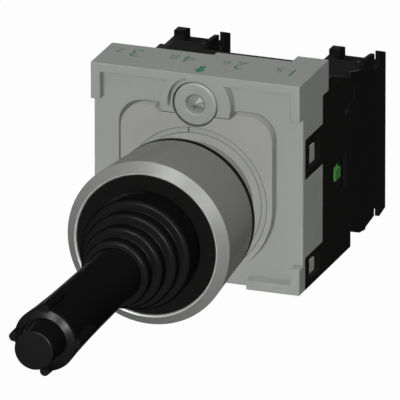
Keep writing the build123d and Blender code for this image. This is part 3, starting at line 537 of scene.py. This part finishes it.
bpy.ops.object.join()
bpy.ops.object.shade_smooth_by_angle(angle=SMOOTH_BELOW)
dress(grip, grip_black)
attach(grip, "sleeve")
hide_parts("locking_sleeve")


# Handle tip: a moulded cap, pressed on the rod's end, on which the sleeve slides. Its profile
# starts and ends on the axis, where its poles close.
pole = 0.0001
cap = turned(
    "tip_cap",
    (
        (pole, -70.1), (3.02, -70.1), (3.02, -65.5), (3.64, -65.5), (3.64, -77.1),
        (pole, -77.1),
    ),
    steps=96,
    bevel=0.4,
)
dress(cap, grip_black)
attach(cap, "lever")
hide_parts("handle_tip")


# Lever works: ground steel rod, pin and guide plate, a moulded foot, and wire springs,
# all inside the barrel.
ground_steel = turned_metal("ground_steel", (0.48, 0.48, 0.47), 0.28, 1500, 0.002)
spring_wire = skin("spring_wire", (0.42, 0.42, 0.42), 0.25, 6000, 0.002, metallic=1.0)
for label in ("lever_rod", "pivot_pin", "guide_plate", "lock_collar"):
    dress(nodes[label], ground_steel)
for label in ("sleeve_spring", "centring_spring"):
    dress(nodes[label], spring_wire)
works_black = skin("works_black", (0.0085, 0.0088, 0.0085), 0.42, 5200, 0.012, specular=0.15)
dress(nodes["lever_foot"], works_black)


# Holder: the square grey moulding that clamps the switch to the panel, with raised edges,
# a boss for the clamp screw and snap seats on its sides.
def softened(label, place, width, material):
    """Makes a moulding from a merged copy of a CAD node, with its sharp edges rounded. Its place
    is its body and a material slot; the slot is not used."""
    body, slot = place
    moulding = bpy.data.objects.new(f"{label}_moulding", nodes[label].data.copy())
    bpy.context.scene.collection.objects.link(moulding)
    bpy.ops.object.select_all(action="DESELECT")
    moulding.select_set(True)
    bpy.context.view_layer.objects.active = moulding
    bpy.ops.object.mode_set(mode="EDIT")
    bpy.ops.mesh.select_all(action="SELECT")
    bpy.ops.mesh.remove_doubles(threshold=2 * MERGE_DISTANCE)
    bpy.ops.mesh.dissolve_limited(angle_limit=radians(1.0))
    bpy.ops.mesh.normals_make_consistent(inside=False)
    bpy.ops.object.mode_set(mode="OBJECT")
    finish_edges(moulding, width, segments=2, angle=35, clamp=False)
    dress(moulding, material)
    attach(moulding, body)
    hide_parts(label)
    return moulding


# Painted shade darkens the creases and gaps of the holder and the latch ring.
holder_grey = skin("holder_grey", (0.285, 0.297, 0.283), 0.55, 3800, 0.012, drift=0.05, edge=0.18,
                   wear=0.10, specular=0.001, crease_shade=0.9)
softened("holder", ("root", "holder_grey"), 0.16, holder_grey)


# Printed marks: generic slot numbers and an arrow to the front, printed in green ink on the
# holder's top. They read from behind the panel.
ink = skin("green_ink", (0.008, 0.155, 0.088), 0.50, 5000, 0.004, drift=0.1, wear=0.0,
           specular=0.005)
holder_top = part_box("holder")[1][2] / MM
film = 0.01
thinned_stroke = -0.02


def printed(name, text, x, y, size):
    """Prints one mark on the holder's top, its foot towards the back."""
    bpy.ops.object.select_all(action="DESELECT")
    bpy.ops.object.text_add(location=(x * MM, y * MM, holder_top * MM), rotation=(0, 0, pi))
    mark = bpy.context.object
    mark.name = name
    mark.data.body = text
    mark.data.size = size * MM
    mark.data.extrude = film * MM
    mark.data.offset = thinned_stroke * size * MM
    mark.data.align_x = "CENTER"
    mark.data.align_y = "CENTER"
    bpy.ops.object.convert(target="MESH")
    bpy.ops.object.transform_apply(location=True, rotation=True, scale=True)
    dress(mark, ink)
    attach(mark, "root")


for number, x, y, size in (
    ("7", -17.0, 13.9, 3.6), ("3", -13.9, 13.4, 5.6),
    ("8", -6.6, 13.8, 3.6), ("4", -3.8, 13.6, 5.6),
    ("6", 3.2, 13.9, 3.6), ("2", 6.1, 13.3, 5.6),
    ("5", 13.5, 13.7, 3.6), ("1", 16.2, 12.9, 5.6),
):
    printed(f"mark_{number}", number, x, y, size)
bpy.ops.object.select_all(action="DESELECT")
head_centre = Vector((0, 8.167, holder_top + film)) * MM
shaft_centre = Vector((0, 9.65, holder_top + film)) * MM
head_size = (1.27, 1.067, 1)
shaft_size = (1.05, 1.9, 1)
bpy.ops.mesh.primitive_circle_add(
    vertices=3, radius=1 * MM, fill_type="NGON", location=head_centre, rotation=(0, 0, pi),
)
arrow = bpy.context.object
arrow.name = "mark_arrow"
bpy.ops.object.transform_apply(location=True, rotation=True, scale=True)
bpy.ops.object.mode_set(mode="EDIT")
bpy.ops.mesh.select_all(action="SELECT")
bpy.ops.transform.resize(value=head_size, center_override=head_centre)
bpy.ops.mesh.select_all(action="DESELECT")
bpy.ops.mesh.primitive_plane_add(size=1 * MM, location=shaft_centre)
bpy.ops.transform.resize(value=shaft_size, center_override=shaft_centre)
bpy.ops.object.mode_set(mode="OBJECT")
thickness = arrow.modifiers.new("ink_film", "SOLIDIFY")
thickness.thickness = 2 * film * MM
thickness.offset = 0.0
bpy.ops.object.modifier_apply(modifier="ink_film")
dress(arrow, ink)
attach(arrow, "root")


# Latch plate and ring: a raised moulding in a slightly warmer grey, with a split spring ring
# let into its face and painted shade in its creases. A thin dark copy of the plate lies just
# behind its foot as a painted shadow, and shows as a dark line along its left side.
latch_grey = skin("latch_grey", (0.305, 0.307, 0.296), 0.55, 3800, 0.012, drift=0.05, edge=0.12,
                  wear=0.1, specular=0.001, crease_shade=0.9)
plate = softened("latch_plate", ("root", "latch_grey"), 0, latch_grey)
painted_foot_shadow = skin("painted_foot_shadow", (0.115, 0.118, 0.112), 0.6, 3800, 0.004, specular=0.0, wear=0.0)
foot_shadow_shift = -1.08
foot_shadow_thinness = 0.01
foot_shadow_height = 0.02
plate_front, plate_foot = (corner[1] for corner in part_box("latch_plate"))
# Painted shadow: a flattened dark copy of the plate, shifted left and set just behind its foot.
foot_shadow = bpy.data.objects.new("latch_foot_shadow", plate.data.copy())
bpy.context.scene.collection.objects.link(foot_shadow)
bpy.ops.object.select_all(action="DESELECT")
foot_shadow.select_set(True)
bpy.context.view_layer.objects.active = foot_shadow
bpy.ops.object.mode_set(mode="EDIT")
bpy.ops.mesh.select_all(action="SELECT")
bpy.ops.transform.resize(value=(1, foot_shadow_thinness, 1), center_override=(0, plate_front, 0))
bpy.ops.transform.translate(
    value=(foot_shadow_shift * MM, plate_foot - foot_shadow_height * MM - plate_front, 0),
)
bpy.ops.object.mode_set(mode="OBJECT")
dress(foot_shadow, painted_foot_shadow)
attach(foot_shadow, "root")
softened("latch_ring", ("root", "holder_grey"), 0.08, holder_grey)


# Pressure disc and clamp screw: a grey disc in the holder's boss, with the steel screw's
# conical end in its eye.
# Painted shade, lighter than on the holder, darkens the disc's creases and the gap round it.
disc_grey = skin("disc_grey", (0.285, 0.297, 0.283), 0.45, 3800, 0.01, drift=0.05, edge=0.15,
                 wear=0.2, specular=0.0, metallic=0.06, rim_shine=0.1, crease_shade=0.3)
softened("pressure_disc", ("disc", "holder_grey"), 0.25, disc_grey)
screw_grey = skin("screw_grey", (0.21, 0.215, 0.21), 0.50, 3800, 0.004, drift=0.08, edge=0.06,
                  wear=0.2, specular=0.0, metallic=0.08, rim_shine=0.2)
softened("clamp_screw", ("screw", "steel"), 0.06, screw_grey)


# Module carrier: black moulding with four pockets, snap arms over the holder's sides
# and a window to each transfer slide.
carrier_black = skin("carrier_black", (0.0075, 0.0078, 0.0072), 0.50, 4600, 0.014, specular=0.0005,
                     wear=0.6)
softened("module_carrier", ("root", "plastic_black"), 0.08, carrier_black)


# Transfer slides: green moulded bars that carry the lever's motion to the modules. They run in
# the carrier, and each shows in the window on its side.
slide_green = skin("slide_green", (0.055, 0.210, 0.048), 0.45, 4200, 0.01, specular=0.0005)
for label in ("transfer_slide_left", "transfer_slide_right"):
    dress(nodes[label], slide_green)


# Contact modules: black moulded housings and noses, snapped together and into the carrier, with
# green plungers, stamped brass contacts, wire springs, and plated terminals and screws.
module_black = skin("module_black", (0.0072, 0.0075, 0.0072), 0.50, 4600, 0.014, specular=0.0005,
                    wear=0.6)
brass = skin("stamped_brass", (0.50, 0.33, 0.11), 0.32, 3500, 0.004, metallic=1.0)
plated_steel = skin("plated_steel", (0.45, 0.45, 0.43), 0.33, 3500, 0.004, metallic=1.0)
for hand in ("left", "right"):
    for piece in ("housing", "nose"):
        softened(f"module_{hand}_{piece}", ("root", "plastic_black"), 0.12, module_black)
    for piece, material in (
        ("plunger", slide_green),
        ("bridge", brass), ("fixed_contacts", brass), ("spring", spring_wire),
        ("terminal_clamps", plated_steel), ("terminal_screws", plated_steel),
    ):
        dress(nodes[f"module_{hand}_{piece}"], material)
